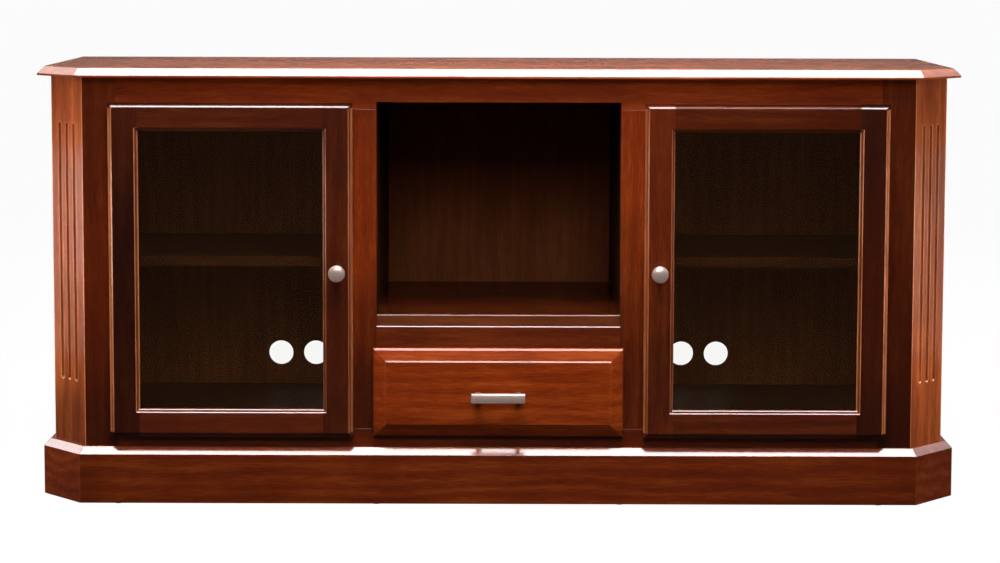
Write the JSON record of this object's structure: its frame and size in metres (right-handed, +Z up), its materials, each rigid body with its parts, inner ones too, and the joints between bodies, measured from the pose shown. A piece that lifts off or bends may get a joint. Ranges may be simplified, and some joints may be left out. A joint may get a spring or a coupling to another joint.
{
  "type": "tv stand",
  "caption": "Wooden TV stand with clipped corners and fluted posts: glass doors at the sides, and an open bay over a raised-panel drawer in the middle.",
  "frame": {"origin": "on the floor, at the centre of the stand's bounding box in plan", "axes": "+X to the stand's left-to-right as seen from the front, the front faces -Y, +Z up"},
  "size_m": [1.762, 0.536, 0.8275],
  "materials": {
    "cherry": "red-brown stain under satin lacquer",
    "inside_wood": "dark stain, satin",
    "drawer_box_wood": "clear satin lacquer",
    "glass": "polished, smoked",
    "nickel": "satin nickel",
    "steel": "zinc plated",
    "glide_plastic": "moulded nylon"
  },
  "bodies": {
    "case": {"top_board": "cherry", "face_stile_left": "cherry", "face_stile_right": "cherry", "face_mullion_left": "cherry", "face_mullion_right": "cherry", "face_rail_top": "cherry", "face_rail_middle": "cherry", "face_rail_bottom": "cherry", "corner_post_left": "cherry", "corner_post_right": "cherry", "side_panel_left": "cherry", "side_panel_right": "cherry", "bay_deck": "cherry", "base_front": "cherry", "base_corner_left": "cherry", "base_corner_right": "cherry", "base_side_left": "cherry", "base_side_right": "cherry", "base_back": "cherry", "partition_left": "inside_wood", "partition_right": "inside_wood", "bottom_board": "inside_wood", "deck_cleats": "inside_wood", "back_panel": "inside_wood", "top_stretchers": "inside_wood", "shelf_left": "inside_wood", "shelf_right": "inside_wood", "hinge_arms": "steel", "hinge_pins": "steel", "hinge_screws": "steel", "top_screws": "steel", "shelf_pins": "steel", "slide_outer_members": "steel", "floor_glides": "glide_plastic"},
    "drawer": {"slide_inner_members": "steel", "drawer_front": "cherry", "drawer_box_front": "drawer_box_wood", "drawer_side_left": "drawer_box_wood", "drawer_side_right": "drawer_box_wood", "drawer_box_back": "drawer_box_wood", "drawer_bottom": "drawer_box_wood", "drawer_pull": "nickel", "pull_screws": "steel"},
    "slide_middle": {"slide_middle_members": "steel"},
    "left_door": {"left_door_hinge_stile": "cherry", "left_door_knob_stile": "cherry", "left_door_top_rail": "cherry", "left_door_bottom_rail": "cherry", "left_door_glass": "glass", "left_door_glass_stops": "cherry", "left_door_knob": "nickel", "left_door_hinge_cups": "steel"},
    "right_door": {"right_door_hinge_stile": "cherry", "right_door_knob_stile": "cherry", "right_door_top_rail": "cherry", "right_door_bottom_rail": "cherry", "right_door_glass": "glass", "right_door_glass_stops": "cherry", "right_door_knob": "nickel", "right_door_hinge_cups": "steel"}
  },
  "joints": [
    {"name": "drawer_slide", "type": "slide", "parent": "case", "child": "drawer", "axis": [0, -1, 0], "range_m": [0, 0.38]},
    {"name": "slide_middle_run", "type": "slide", "parent": "case", "child": "slide_middle", "axis": [0, -1, 0], "range_m": [0, 0.19]},
    {"name": "left_door_hinge", "type": "hinge", "parent": "case", "child": "left_door", "pos_m": [-0.7277, -0.229, 0.4], "axis": [0, 0, -1], "range_deg": [0, 100]},
    {"name": "right_door_hinge", "type": "hinge", "parent": "case", "child": "right_door", "pos_m": [0.7277, -0.229, 0.4], "axis": [0, 0, 1], "range_deg": [0, 100]}
  ],
  "couplings": [
    {"joint": "slide_middle_run", "follows": "drawer_slide", "ratio": 0.5}
  ]
}
